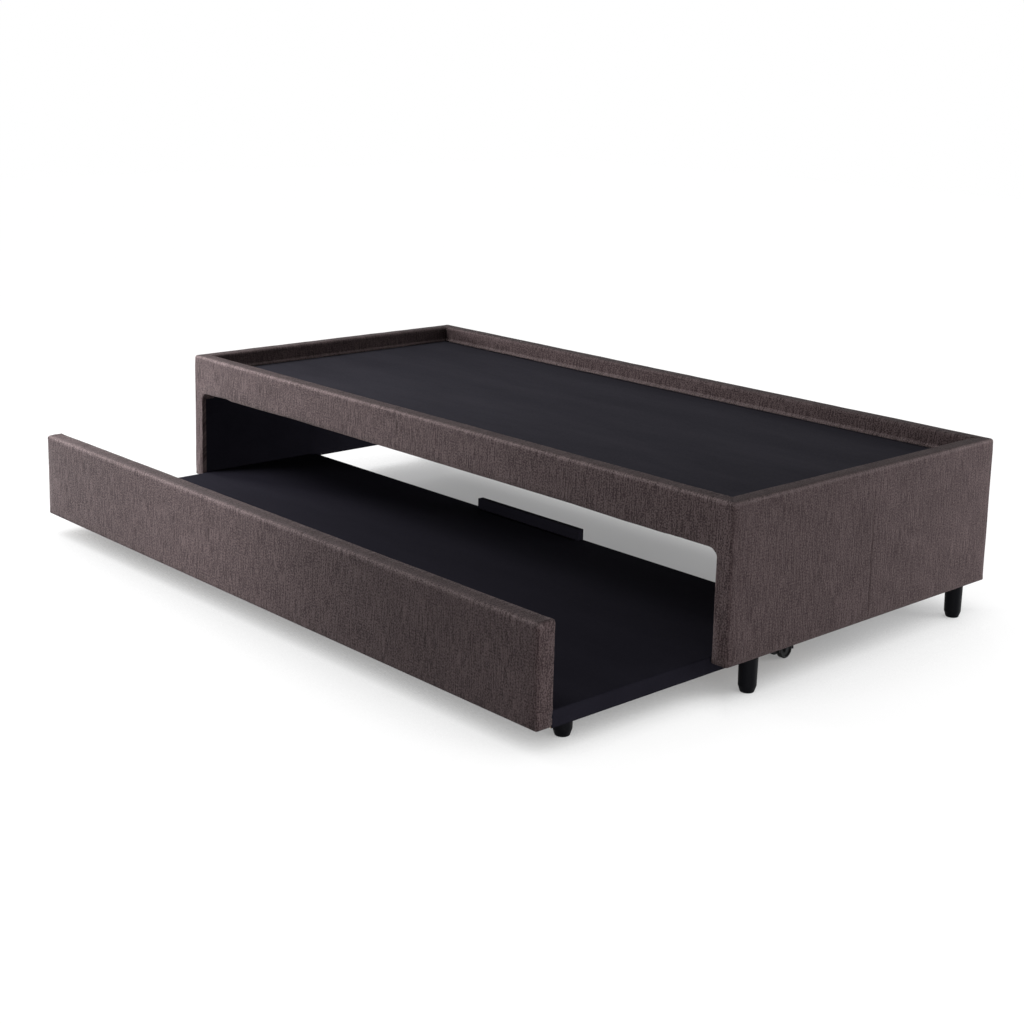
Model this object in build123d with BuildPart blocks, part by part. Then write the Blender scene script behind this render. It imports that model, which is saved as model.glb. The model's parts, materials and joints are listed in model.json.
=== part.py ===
from build123d import *
import os

# An upholstered single bed base with a trundle that rolls out from under its front rail.
# X runs along the bed, Y from the trundle's front to the back of the base, and Z up from the floor.
# The origin lies on the floor, in the middle of the area that the base and the trundle cover.

# Base, outside sizes in millimetres
bed_length = 2090.0
bed_width = 990.0
bed_height = 445.0
leg_height = 80.0
rim_width = 45.0
rim_depth = 47.0
rail_height = 109.0
opening_radius = 22.0

# Upholstery of the base and of the trundle's front
padding = 5.0
hem = 2.0
rim_round = 10.0
corner_round = 12.0
panel_round = 8.0
hem_round = 3.0
return_depth = 12.0
lip_width = 6.0
lip_height = 7.0
lip_round = 2.5
seam_gap = 0.4
soft_gap = 0.3
cloth = 1.0

# Timber and boards of the base
timber_ease = 2.0
end_board_thickness = 3.0
liner_thickness = 3.0
bottom_rail_height = 70.0
stud_width = 45.0
stud_count = 3
slat_width = 70.0
slat_thickness = 20.0
slat_count = 9
ledger_thickness = 25.0
deck_board_thickness = 6.0
board_gap = 1.0

# Legs of the base and the feet at the front of the trundle
leg_radius = 21.5
leg_waist_radius = 20.5
leg_base_radius = 15.5
leg_taper_height = 15.0
leg_base_round = 3.0
leg_inset = 100.0
bolt_radius = 4.0
bolt_in_foot = 25.0
bolt_in_block = 22.0
insert_radius = 6.5
insert_length = 20.0
bolt_chamfer = 1.0
fit_gap = 0.05

# Trundle
pull_out = 505.0
bay_gap = 5.0
trundle_lift = 55.0
front_panel_height = 224.0
front_panel_thickness = 45.0
platform_depth = 870.0
platform_frame_height = 31.0
platform_board_thickness = 5.0
platform_rail_width = 40.0
platform_slat_width = 60.0
platform_slat_count = 5
corner_block_size = 90.0
stop_length = 400.0
stop_height = 29.0
stop_thickness = 18.0
foot_inset_x = 58.0
foot_inset_y = 83.0

# Swivel casters with twin wheels
caster_inset_x = 68.0
caster_inset_y = 98.0
caster_trail = 16.0
wheel_radius = 21.0
wheel_width = 14.0
wheel_spacing = 29.0
wheel_round = 2.5
wheel_rim_depth = 5.0
wheel_web_width = 9.0
wheel_hub_radius = 7.0
axle_radius = 3.0
axle_head_radius = 5.0
axle_head_length = 1.2
hood_gap = 1.5
hood_wall = 3.5
hood_skirt = 3.0
web_gap = 2.0
plate_size = 46.0
plate_thickness = 2.5
plate_round = 5.0
plate_screw_span = 34.0
raceway_radius = 14.0
raceway_height = 3.5
kingpin_radius = 3.0
kingpin_barrel_radius = 6.0
kingpin_barrel_length = 15.0
kingpin_head_radius = 4.5
kingpin_head_height = 2.0
swivel_gap = 0.3

# Screws and bolts
screw_radius = 2.5
screw_head_radius = 4.8
screw_length = 75.0
screw_point = 6.0
panel_bolt_radius = 3.0
panel_bolt_head_radius = 6.5
panel_bolt_head_height = 4.0
panel_bolt_length = 60.0
plate_screw_radius = 1.75
plate_screw_head_radius = 3.6
plate_screw_head_height = 2.0
plate_screw_length = 16.0

# Where pairs of screws sit, as shares of the height or width of the rail that they hold
long_rail_shares = (0.2, 0.8)
end_rail_shares = (0.4, 0.6)
bottom_rail_shares = (0.3, 0.7)
platform_rail_shares = (0.25, 0.75)

# Places that follow from the sizes above
half_length = bed_length / 2
front = (pull_out - bed_width) / 2
back = front + bed_width
middle = (front + back) / 2
bay_half = half_length - rim_width
rim_front = front + rim_width
rim_back = back - rim_width
timber_front = front + padding
timber_back = back - padding
rail_inner_front = rim_front - padding
rail_inner_back = rim_back + padding
end_inner = bay_half + padding
board_face = half_length - padding
end_outer = board_face - end_board_thickness
frame_bottom = leg_height + hem
frame_top = bed_height - padding
opening_top = bed_height - rail_height
rail_bottom = opening_top + padding
deck_top = bed_height - rim_depth
deck_board_top = deck_top - cloth
slat_top = deck_board_top - deck_board_thickness
slat_bottom = slat_top - slat_thickness
lip_bottom = deck_board_top + soft_gap
lip_top = deck_top + lip_height
lip_half = bay_half - lip_width
lip_front = rim_front + lip_width
lip_back = rim_back - lip_width
glue_block_leg = (opening_radius + padding) / 2
over = 1.0

trundle_half = bay_half - bay_gap
trundle_front = front - pull_out
panel_back = trundle_front + front_panel_thickness
panel_core_back = panel_back - padding
panel_top = trundle_lift + front_panel_height
platform_back = panel_back + platform_depth
platform_frame_top = trundle_lift + platform_frame_height
platform_board_top = platform_frame_top + platform_board_thickness
platform_top = platform_board_top + cloth
side_outer = trundle_half - cloth
side_inner = side_outer - platform_rail_width
front_rail_back = panel_core_back + platform_rail_width
back_rail_back = platform_back - cloth
back_rail_front = back_rail_back - platform_rail_width
foot_x = trundle_half - foot_inset_x
foot_y = panel_back + foot_inset_y
caster_x = trundle_half - caster_inset_x
swivel_y = platform_back - caster_inset_y
axle_y = swivel_y + caster_trail
axle_z = wheel_radius
plate_bottom = trundle_lift - plate_thickness
raceway_bottom = plate_bottom - raceway_height
hood_top = raceway_bottom - swivel_gap
hood_inner = wheel_radius + hood_gap
hood_outer = hood_inner + hood_wall
hood_neck_bottom = axle_z + hood_inner
barrel_bottom = hood_neck_bottom - kingpin_barrel_length
wheel_inner_face = (wheel_spacing - wheel_width) / 2
wheel_outer_face = (wheel_spacing + wheel_width) / 2
sides = {"left": -1, "right": 1}

os.makedirs("parts", exist_ok=True)


def keep(piece, name):
    """Label a finished piece and write it to its own file."""
    piece.part.label = name
    export_step(piece.part, f"parts/{name}.step")


def block(low, high, mode=Mode.ADD):
    """Add or cut the block between two opposite corners."""
    with Locations(tuple((a + b) / 2 for a, b in zip(low, high))):
        Box(*[b - a for a, b in zip(low, high)], mode=mode)


def mirrored(low, high, side):
    """Corners of a block on the right, carried over to the left where side is -1."""
    xs = sorted((low[0] * side, high[0] * side))
    return (xs[0], *low[1:]), (xs[1], *high[1:])


def timber(name, low, high, grain, voids=None, places=()):
    """A planed board along the grain axis, bored where its fasteners pass."""
    with BuildPart() as piece:
        block(low, high)
        chamfer(edges().filter_by(grain), timber_ease)
        if voids:
            with Locations(*places):
                add(voids.part, mode=Mode.SUBTRACT)
    keep(piece, name)


def even_places(count, low, high):
    """Count centres at equal steps, with half a step left at both ends."""
    step = (high - low) / count
    return [low + step * (index + 0.5) for index in range(count)]


# Fasteners, each with its head's top at the origin and its shank along -Z

def countersunk_screw(gap=0.0):
    """A wood screw, or the hole that it leaves where gap is more than nothing."""
    shank = screw_radius + gap
    head = screw_head_radius + gap
    tip = -screw_length - gap
    with BuildPart() as screw:
        with BuildSketch(Plane.XZ):
            Polygon(
                (0, 0), (head, 0), (shank, shank - head), (shank, tip + screw_point), (0, tip), align=None
            )
        revolve(axis=Axis.Z)
    return screw


def headed_bolt(shank, head, head_height, length, gap=0.0):
    """A bolt or screw with a flat round head above the origin, or the hole for its shank."""
    with BuildPart() as bolt:
        Cylinder(shank + gap, length + gap, align=(Align.CENTER, Align.CENTER, Align.MAX))
        if not gap:
            Cylinder(head, head_height, align=(Align.CENTER, Align.CENTER, Align.MIN))
            fillet(edges().sort_by(Axis.Z)[-1], head_height / 2)
    return bolt


def fastener_group(name, fastener, places):
    """Copies of one fastener at their places, as one group of separate solids."""
    with BuildPart() as group:
        with Locations(*places):
            add(fastener.part)
    keep(group, name)


frame_screw = countersunk_screw()
frame_screw_hole = countersunk_screw(fit_gap)
panel_bolt = headed_bolt(
    panel_bolt_radius, panel_bolt_head_radius, panel_bolt_head_height, panel_bolt_length
)
panel_bolt_hole = headed_bolt(panel_bolt_radius, 0, 0, panel_bolt_length, fit_gap)
plate_screw = headed_bolt(
    plate_screw_radius, plate_screw_head_radius, plate_screw_head_height, plate_screw_length
)
plate_screw_hole = headed_bolt(plate_screw_radius, 0, 0, plate_screw_length, fit_gap)

# Screws through the posts: along X into the long rails, along Y into the end rails
frame_screw_places = []
for side in sides.values():
    for share in long_rail_shares:
        height = rail_bottom + share * (frame_top - rail_bottom)
        for depth in ((timber_front + rail_inner_front) / 2, (timber_back + rail_inner_back) / 2):
            frame_screw_places.append(Location((side * end_outer, depth, height), (0, 90 * side, 0)))
    post_middle = side * (end_inner + end_outer) / 2
    heights = [rail_bottom + share * (frame_top - rail_bottom) for share in end_rail_shares]
    heights += [frame_bottom + share * bottom_rail_height for share in bottom_rail_shares]
    for height in heights:
        frame_screw_places.append(Location((post_middle, timber_front, height), (90, 0, 0)))
        frame_screw_places.append(Location((post_middle, timber_back, height), (-90, 0, 0)))
fastener_group("frame_screws", frame_screw, frame_screw_places)

# Bolts of the legs, and the threaded inserts that they turn into
leg_places = {
    f"{depth}_{name}": (side * (half_length - rim_width / 2), y)
    for depth, y in (("front", front + leg_inset), ("back", back - leg_inset))
    for name, side in sides.items()
}
with BuildPart() as leg_bolt:
    Cylinder(bolt_radius, bolt_in_foot + hem + insert_length, align=(Align.CENTER, Align.CENTER, Align.MIN))
    chamfer(edges().sort_by(Axis.Z)[-1], bolt_chamfer)
leg_bolt_places = [Location((x, y, leg_height - bolt_in_foot)) for x, y in leg_places.values()]
fastener_group("leg_bolts", leg_bolt, leg_bolt_places)

with BuildPart() as leg_insert:
    Cylinder(insert_radius, insert_length, align=(Align.CENTER, Align.CENTER, Align.MIN))
    Cylinder(
        bolt_radius + fit_gap, insert_length,
        align=(Align.CENTER, Align.CENTER, Align.MIN), mode=Mode.SUBTRACT,
    )
fastener_group("leg_inserts", leg_insert, [Location((x, y, frame_bottom)) for x, y in leg_places.values()])

# Timber frame of the base
for depth, low_y, high_y in (
    ("front", timber_front, rail_inner_front),
    ("back", rail_inner_back, timber_back),
):
    timber(
        f"{depth}_rail", (-end_inner, low_y, rail_bottom), (end_inner, high_y, frame_top),
        Axis.X, frame_screw_hole, frame_screw_places,
    )
    for name, side in sides.items():
        corners = mirrored((end_inner, low_y, frame_bottom), (end_outer, high_y, frame_top), side)
        timber(f"post_{depth}_{name}", *corners, Axis.Z, frame_screw_hole, frame_screw_places)

for name, side in sides.items():
    corners = mirrored(
        (end_inner, rail_inner_front, rail_bottom), (end_outer, rail_inner_back, frame_top), side
    )
    timber(f"end_top_rail_{name}", *corners, Axis.Y, frame_screw_hole, frame_screw_places)

    bottom_rail_top = frame_bottom + bottom_rail_height
    corners = mirrored(
        (end_inner, rail_inner_front, frame_bottom), (end_outer, rail_inner_back, bottom_rail_top), side
    )
    with BuildPart() as end_bottom_rail:
        block(*corners)
        chamfer(edges().filter_by(Axis.Y), timber_ease)
        with Locations(*frame_screw_places):
            add(frame_screw_hole.part, mode=Mode.SUBTRACT)
        insert_axes = [(x, y, frame_bottom) for x, y in leg_places.values() if x * side > 0]
        with Locations(*insert_axes):
            Cylinder(
                insert_radius + fit_gap, insert_length + fit_gap,
                align=(Align.CENTER, Align.CENTER, Align.MIN), mode=Mode.SUBTRACT,
            )
    keep(end_bottom_rail, f"end_bottom_rail_{name}")

with BuildPart() as end_studs:
    for side in sides.values():
        for y in even_places(stud_count, rail_inner_front, rail_inner_back):
            block(*mirrored(
                (end_inner, y - stud_width / 2, frame_bottom + bottom_rail_height),
                (end_outer, y + stud_width / 2, rail_bottom), side,
            ))
keep(end_studs, "end_studs")


def glue_block_outline(side):
    """The triangle that backs a rounded upper corner of the trundle opening."""
    corner = side * end_inner
    Polygon(
        (corner, rail_bottom),
        (corner - side * glue_block_leg, rail_bottom),
        (corner, rail_bottom - glue_block_leg),
        align=None,
    )


with BuildPart() as opening_corner_blocks:
    for start in (timber_front, rail_inner_back):
        with BuildSketch(Plane.XZ.offset(-start)):
            for side in sides.values():
                glue_block_outline(side)
        extrude(amount=-(rail_inner_front - timber_front))
keep(opening_corner_blocks, "opening_corner_blocks")

# Boards on both faces of the end panels
for name, side in sides.items():
    with BuildPart() as end_board:
        block(*mirrored(
            (end_outer, timber_front, frame_bottom),
            (end_outer + end_board_thickness, timber_back, frame_top), side,
        ))
    keep(end_board, f"end_board_{name}")

    tongue_top = opening_top - opening_radius - soft_gap
    with BuildPart() as end_liner:
        block(*mirrored(
            (end_inner - liner_thickness, rail_inner_front + soft_gap, frame_bottom),
            (end_inner, rail_inner_back - soft_gap, slat_bottom), side,
        ))
        block(*mirrored(
            (end_inner - liner_thickness, front + return_depth + soft_gap, frame_bottom),
            (end_inner, back - return_depth - soft_gap, tongue_top), side,
        ))
    keep(end_liner, f"end_liner_{name}")

# Mattress deck: ledgers on the rails, slats across them, a board and its black cloth
deck_half = bay_half - board_gap
slat_half = bay_half - liner_thickness
for depth, low_y, high_y in (
    ("front", rail_inner_front, rail_inner_front + ledger_thickness),
    ("back", rail_inner_back - ledger_thickness, rail_inner_back),
):
    ledger_half = slat_half - board_gap
    timber(
        f"deck_ledger_{depth}", (-ledger_half, low_y, rail_bottom),
        (ledger_half, high_y, slat_bottom), Axis.X,
    )

with BuildPart() as deck_slats:
    for x in even_places(slat_count, -slat_half, slat_half):
        block(
            (x - slat_width / 2, rail_inner_front + board_gap, slat_bottom),
            (x + slat_width / 2, rail_inner_back - board_gap, slat_top),
        )
    chamfer(edges().filter_by(Axis.Y), timber_ease)
keep(deck_slats, "deck_slats")

with BuildPart() as deck_panel:
    block(
        (-deck_half, rim_front + board_gap, slat_top), (deck_half, rim_back - board_gap, deck_board_top)
    )
keep(deck_panel, "deck_panel")

deck_cloth_half = lip_half - seam_gap
with BuildPart() as deck_cover:
    block(
        (-deck_cloth_half, lip_front + seam_gap, deck_board_top),
        (deck_cloth_half, lip_back - seam_gap, deck_top),
    )
keep(deck_cover, "deck_cover")

with BuildPart() as dust_cover:
    block(
        (-ledger_half, rail_inner_front + board_gap, rail_bottom - cloth),
        (ledger_half, rail_inner_back - board_gap, rail_bottom),
    )
keep(dust_cover, "dust_cover")


# Upholstery of the base, one cover for each side, mitred at the corners

def padded_shell():
    """The padded skin over the whole frame, open inside and underneath."""
    block((-half_length, front, leg_height), (half_length, back, bed_height))
    fillet(edges().filter_by(Axis.Z), corner_round)
    fillet(faces().sort_by(Axis.Z)[-1].edges(), rim_round)
    fillet(faces().sort_by(Axis.Z)[0].edges(), hem_round)

    block((-bay_half, rim_front, lip_top), (bay_half, rim_back, bed_height + over), Mode.SUBTRACT)
    fillet(faces().sort_by(Axis.Z)[-1].inner_wires()[0].edges(), rim_round)
    block((-lip_half, lip_front, slat_top), (lip_half, lip_back, bed_height), Mode.SUBTRACT)
    lip_face = faces().filter_by_position(Axis.Z, lip_top, lip_top)[0]
    fillet(lip_face.inner_wires()[0].edges(), lip_round)
    block((-bay_half, rim_front, slat_top), (bay_half, rim_back, lip_bottom), Mode.SUBTRACT)
    block(
        (-end_inner, rail_inner_front, leg_height - over),
        (end_inner, rail_inner_back, slat_top), Mode.SUBTRACT,
    )

    for side in sides.values():
        block(
            *mirrored((end_inner, timber_front, frame_bottom), (board_face, timber_back, frame_top), side),
            Mode.SUBTRACT,
        )
        block(
            *mirrored(
                (bay_half - over, front + return_depth, leg_height - over),
                (end_inner, back - return_depth, opening_top - opening_radius), side,
            ),
            Mode.SUBTRACT,
        )
    for low_y, high_y in ((timber_front, rail_inner_front), (rail_inner_back, timber_back)):
        block((-end_inner, low_y, rail_bottom), (end_inner, high_y, frame_top), Mode.SUBTRACT)


def trundle_openings():
    """Cut the doorway with rounded upper corners through front and back, and room for its glue blocks."""
    with BuildSketch(Plane.XZ.offset(-front + over)) as doorway:
        with Locations((0, leg_height - over)):
            Rectangle(2 * bay_half, opening_top - leg_height + over, align=(Align.CENTER, Align.MIN))
        fillet(doorway.vertices().group_by(Axis.Y)[-1], opening_radius)
    extrude(doorway.sketch, amount=-(bed_width + 2 * over), mode=Mode.SUBTRACT)
    add(opening_corner_blocks.part, mode=Mode.SUBTRACT)


def keep_side(*plan):
    """Keep what stands on this outline of the floor plan."""
    with BuildSketch() as outline:
        Polygon(*plan, align=None)
    extrude(outline.sketch, amount=bed_height + over, mode=Mode.INTERSECT)


mitre = rim_width + lip_width + over
for name, edge, turn in (("front", front, 1), ("back", back, -1)):
    with BuildPart() as long_cover:
        padded_shell()
        trundle_openings()
        keep_side(
            (seam_gap - half_length, edge),
            (half_length - seam_gap, edge),
            (half_length - seam_gap - mitre, edge + turn * mitre),
            (seam_gap + mitre - half_length, edge + turn * mitre),
        )
    keep(long_cover, f"{name}_cover")

for name, side in sides.items():
    with BuildPart() as end_cover:
        padded_shell()
        trundle_openings()
        keep_side(
            (side * half_length, front),
            (side * half_length, back),
            (side * (half_length - mitre), back - mitre),
            (side * (half_length - mitre), front + mitre),
        )
        with Locations(*[(x, y, leg_height) for x, y in leg_places.values()]):
            Cylinder(bolt_radius + soft_gap, 2 * (hem + over), mode=Mode.SUBTRACT)
    keep(end_cover, f"end_cover_{name}")


# Legs and feet

def round_foot(name, x, y, height):
    """A straight round foot that draws in to a smaller base, bored for its bolt."""
    with BuildPart() as foot:
        with BuildSketch(Plane.XZ.offset(-y)):
            with Locations((x, 0)):
                Polygon(
                    (0, 0), (leg_base_radius, 0), (leg_waist_radius, leg_taper_height),
                    (leg_radius, height), (0, height), align=None,
                )
        revolve(axis=Axis((x, y, 0), (0, 0, 1)))
        rings = edges().filter_by(GeomType.CIRCLE).sort_by(Axis.Z)
        fillet(rings[:2], leg_base_round)
        with Locations((x, y, height)):
            Cylinder(
                bolt_radius + fit_gap, bolt_in_foot + fit_gap,
                align=(Align.CENTER, Align.CENTER, Align.MAX), mode=Mode.SUBTRACT,
            )
    keep(foot, name)


for name, (x, y) in leg_places.items():
    round_foot(f"leg_{name}", x, y, leg_height)
for name, side in sides.items():
    round_foot(f"trundle_foot_{name}", side * foot_x, foot_y, trundle_lift)

# Trundle front: a board and the padded cover that wraps it
slat_reach = side_inner - corner_block_size
platform_slat_x = even_places(platform_slat_count, -slat_reach, slat_reach)
panel_bolt_x = [(low + high) / 2 for low, high in zip(platform_slat_x, platform_slat_x[1:])]
panel_bolt_z = trundle_lift + platform_frame_height / 2
panel_bolt_places = [Location((x, front_rail_back, panel_bolt_z), (-90, 0, 0)) for x in panel_bolt_x]
fastener_group("panel_bolts", panel_bolt, panel_bolt_places)

panel_core_low = (padding - trundle_half, trundle_front + padding, trundle_lift + hem)
panel_core_high = (trundle_half - padding, panel_core_back, panel_top - padding)
timber("trundle_front_board", panel_core_low, panel_core_high, Axis.X, panel_bolt_hole, panel_bolt_places)

with BuildPart() as trundle_front_cover:
    block((-trundle_half, trundle_front, trundle_lift), (trundle_half, panel_back, panel_top))
    fillet(edges().filter_by(Axis.Z), rim_round)
    fillet(faces().sort_by(Axis.Z)[-1].edges(), panel_round)
    fillet(faces().sort_by(Axis.Z)[0].edges(), hem_round)
    block(panel_core_low, panel_core_high, Mode.SUBTRACT)
    block(
        (-trundle_half - over, panel_core_back, trundle_lift - over),
        (trundle_half + over, panel_back + over, platform_board_top + soft_gap), Mode.SUBTRACT,
    )
keep(trundle_front_cover, "trundle_front_cover")

# Trundle platform: side rails outside, cross rails and slats between them, blocks in the corners
trundle_screw_places = []
for side in sides.values():
    for rail_front in (panel_core_back, back_rail_front):
        for share in platform_rail_shares:
            y = rail_front + share * platform_rail_width
            place = (side * side_outer, y, trundle_lift + platform_frame_height / 2)
            trundle_screw_places.append(Location(place, (0, 90 * side, 0)))
fastener_group("trundle_screws", frame_screw, trundle_screw_places)

for name, side in sides.items():
    corners = mirrored(
        (side_inner, panel_core_back, trundle_lift), (side_outer, back_rail_back, platform_frame_top), side
    )
    timber(f"trundle_side_rail_{name}", *corners, Axis.Y, frame_screw_hole, trundle_screw_places)

with BuildPart() as trundle_front_rail:
    block((-side_inner, panel_core_back, trundle_lift), (side_inner, front_rail_back, platform_frame_top))
    chamfer(edges().filter_by(Axis.X), timber_ease)
    with Locations(*trundle_screw_places):
        add(frame_screw_hole.part, mode=Mode.SUBTRACT)
    with Locations(*panel_bolt_places):
        add(panel_bolt_hole.part, mode=Mode.SUBTRACT)
keep(trundle_front_rail, "trundle_front_rail")

timber(
    "trundle_back_rail", (-side_inner, back_rail_front, trundle_lift),
    (side_inner, back_rail_back, platform_frame_top), Axis.X, frame_screw_hole, trundle_screw_places,
)

with BuildPart() as trundle_slats:
    for x in platform_slat_x:
        block(
            (x - platform_slat_width / 2, front_rail_back, trundle_lift),
            (x + platform_slat_width / 2, back_rail_front, platform_frame_top),
        )
    chamfer(edges().filter_by(Axis.Y), timber_ease)
keep(trundle_slats, "trundle_slats")

plate_hole = plate_screw_span / 2
plate_screw_places = [
    Location((side * caster_x + dx, swivel_y + dy, plate_bottom), (180, 0, 0))
    for side in sides.values()
    for dx in (-plate_hole, plate_hole)
    for dy in (-plate_hole, plate_hole)
]
foot_places = [(side * foot_x, foot_y, trundle_lift) for side in sides.values()]
with BuildPart() as trundle_corner_blocks:
    for side in sides.values():
        for low_y in (front_rail_back, back_rail_front - corner_block_size):
            block(*mirrored(
                (side_inner - corner_block_size, low_y, trundle_lift),
                (side_inner, low_y + corner_block_size, platform_frame_top), side,
            ))
    with Locations(*foot_places):
        Cylinder(
            bolt_radius + fit_gap, bolt_in_block + fit_gap,
            align=(Align.CENTER, Align.CENTER, Align.MIN), mode=Mode.SUBTRACT,
        )
    with Locations(*plate_screw_places):
        add(plate_screw_hole.part, mode=Mode.SUBTRACT)
keep(trundle_corner_blocks, "trundle_corner_blocks")

with BuildPart() as foot_bolt:
    Cylinder(bolt_radius, bolt_in_foot + bolt_in_block, align=(Align.CENTER, Align.CENTER, Align.MIN))
    chamfer(edges().sort_by(Axis.Z)[-1], bolt_chamfer)
foot_bolt_places = [Location((x, y, z - bolt_in_foot)) for x, y, z in foot_places]
fastener_group("trundle_foot_bolts", foot_bolt, foot_bolt_places)

with BuildPart() as trundle_deck_panel:
    block(
        (-side_outer, panel_core_back, platform_frame_top),
        (side_outer, back_rail_back, platform_board_top),
    )
keep(trundle_deck_panel, "trundle_deck_panel")

with BuildPart() as trundle_deck_cover:
    block((-trundle_half, panel_core_back, trundle_lift), (trundle_half, platform_back, platform_top))
    block(
        (-side_outer, panel_core_back - over, trundle_lift - over),
        (side_outer, back_rail_back, platform_board_top), Mode.SUBTRACT,
    )
    block(
        (-trundle_half, panel_core_back, platform_board_top),
        (trundle_half, panel_back + soft_gap, platform_top), Mode.SUBTRACT,
    )
    block(
        (-stop_length / 2 - seam_gap, platform_back - stop_thickness - seam_gap, platform_board_top),
        (stop_length / 2 + seam_gap, platform_back, platform_top), Mode.SUBTRACT,
    )
keep(trundle_deck_cover, "trundle_deck_cover")

with BuildPart() as mattress_stop:
    block(
        (-stop_length / 2, platform_back - stop_thickness, platform_board_top),
        (stop_length / 2, platform_back, platform_top + stop_height),
    )
    fillet(edges().group_by(Axis.Z)[-1], timber_ease)
keep(mattress_stop, "mattress_stop")


# Swivel casters

def caster_plate(name, x):
    """Top plate with the raceway and the riveted kingpin that the hood turns on."""
    with BuildPart() as plate:
        with BuildSketch(Plane.XY.offset(plate_bottom)):
            with Locations((x, swivel_y)):
                RectangleRounded(plate_size, plate_size, plate_round)
            with Locations((x, swivel_y)):
                with GridLocations(plate_screw_span, plate_screw_span, 2, 2):
                    Circle(plate_screw_radius + fit_gap, mode=Mode.SUBTRACT)
        extrude(amount=plate_thickness)
        with Locations((x, swivel_y, raceway_bottom)):
            Cylinder(raceway_radius, raceway_height, align=(Align.CENTER, Align.CENTER, Align.MIN))
        with Locations((x, swivel_y, barrel_bottom - swivel_gap)):
            Cylinder(
                kingpin_radius, raceway_bottom - barrel_bottom + swivel_gap,
                align=(Align.CENTER, Align.CENTER, Align.MIN),
            )
            Cylinder(
                kingpin_head_radius, kingpin_head_height, align=(Align.CENTER, Align.CENTER, Align.MAX),
            )
    keep(plate, name)


def caster_hood(name, x):
    """Moulded hood over both wheels, with the kingpin's barrel and the web that carries the axle."""
    side_plane = Plane(origin=(x, axle_y, axle_z), x_dir=(0, 1, 0), z_dir=(1, 0, 0))
    web_half = wheel_inner_face - web_gap
    with BuildPart() as hood:
        with BuildSketch(side_plane):
            Circle(hood_outer)
            Circle(hood_inner, mode=Mode.SUBTRACT)
            with Locations((0, -hood_skirt)):
                Rectangle(
                    2 * hood_outer, 2 * hood_outer, align=(Align.CENTER, Align.MIN), mode=Mode.INTERSECT
                )
        extrude(amount=wheel_outer_face, both=True)
        with BuildSketch(side_plane):
            Circle(wheel_hub_radius)
            Rectangle(
                2 * wheel_hub_radius, (hood_inner + hood_outer) / 2, align=(Align.CENTER, Align.MIN)
            )
        extrude(amount=web_half, both=True)
        with Locations((x, swivel_y, hood_neck_bottom)):
            Cylinder(
                raceway_radius, hood_top - hood_neck_bottom, align=(Align.CENTER, Align.CENTER, Align.MIN)
            )
            Cylinder(
                kingpin_barrel_radius, kingpin_barrel_length, align=(Align.CENTER, Align.CENTER, Align.MAX)
            )
        with Locations((x, swivel_y, barrel_bottom)):
            Cylinder(
                kingpin_radius + fit_gap, hood_top - barrel_bottom,
                align=(Align.CENTER, Align.CENTER, Align.MIN), mode=Mode.SUBTRACT,
            )
            Cylinder(
                kingpin_head_radius + hood_gap, kingpin_head_height + 2 * hood_gap,
                align=(Align.CENTER, Align.CENTER, Align.MAX), mode=Mode.SUBTRACT,
            )
        with Locations((x, axle_y, axle_z)):
            Cylinder(
                axle_radius + fit_gap, wheel_spacing, rotation=(0, 90, 0), mode=Mode.SUBTRACT
            )
    keep(hood, name)


def caster_axle(name, x):
    """Steel pin through hood and wheels, with a riveted head at each end."""
    head_start = wheel_outer_face + swivel_gap
    with BuildPart() as axle:
        with Locations((x, axle_y, axle_z)):
            Cylinder(axle_radius, 2 * head_start, rotation=(0, 90, 0))
        for side in sides.values():
            with Locations((x + side * (head_start + axle_head_length / 2), axle_y, axle_z)):
                Cylinder(axle_head_radius, axle_head_length, rotation=(0, 90, 0))
    keep(axle, name)


def caster_wheel(name, x):
    """Moulded wheel: hub, sunk web and rounded rim, turned about the axle."""
    half = wheel_width / 2
    web = wheel_web_width / 2
    bore = axle_radius + fit_gap
    rim_inner = wheel_radius - wheel_rim_depth
    centre = (x, axle_y, axle_z)
    with BuildPart() as wheel:
        with BuildSketch(Plane(origin=centre, x_dir=(1, 0, 0), z_dir=(0, -1, 0))):
            Polygon(
                (-half, bore), (half, bore), (half, wheel_hub_radius), (web, wheel_hub_radius),
                (web, rim_inner), (half, rim_inner), (half, wheel_radius), (-half, wheel_radius),
                (-half, rim_inner), (-web, rim_inner), (-web, wheel_hub_radius), (-half, wheel_hub_radius),
                align=None,
            )
        revolve(axis=Axis(centre, (1, 0, 0)))
        tread = edges().filter_by(GeomType.CIRCLE).group_by(SortBy.RADIUS)[-1]
        fillet(tread, wheel_round)
    keep(wheel, name)


fastener_group("caster_screws", plate_screw, plate_screw_places)
for name, side in sides.items():
    x = side * caster_x
    caster_plate(f"caster_plate_{name}", x)
    caster_hood(f"caster_hood_{name}", x)
    caster_axle(f"caster_axle_{name}", x)
    caster_wheel(f"caster_wheel_{name}_outer", x + side * wheel_spacing / 2)
    caster_wheel(f"caster_wheel_{name}_inner", x - side * wheel_spacing / 2)
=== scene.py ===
import json
import math
from contextlib import contextmanager

import bpy
import numpy as np
from mathutils import Matrix, Vector, noise

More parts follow.
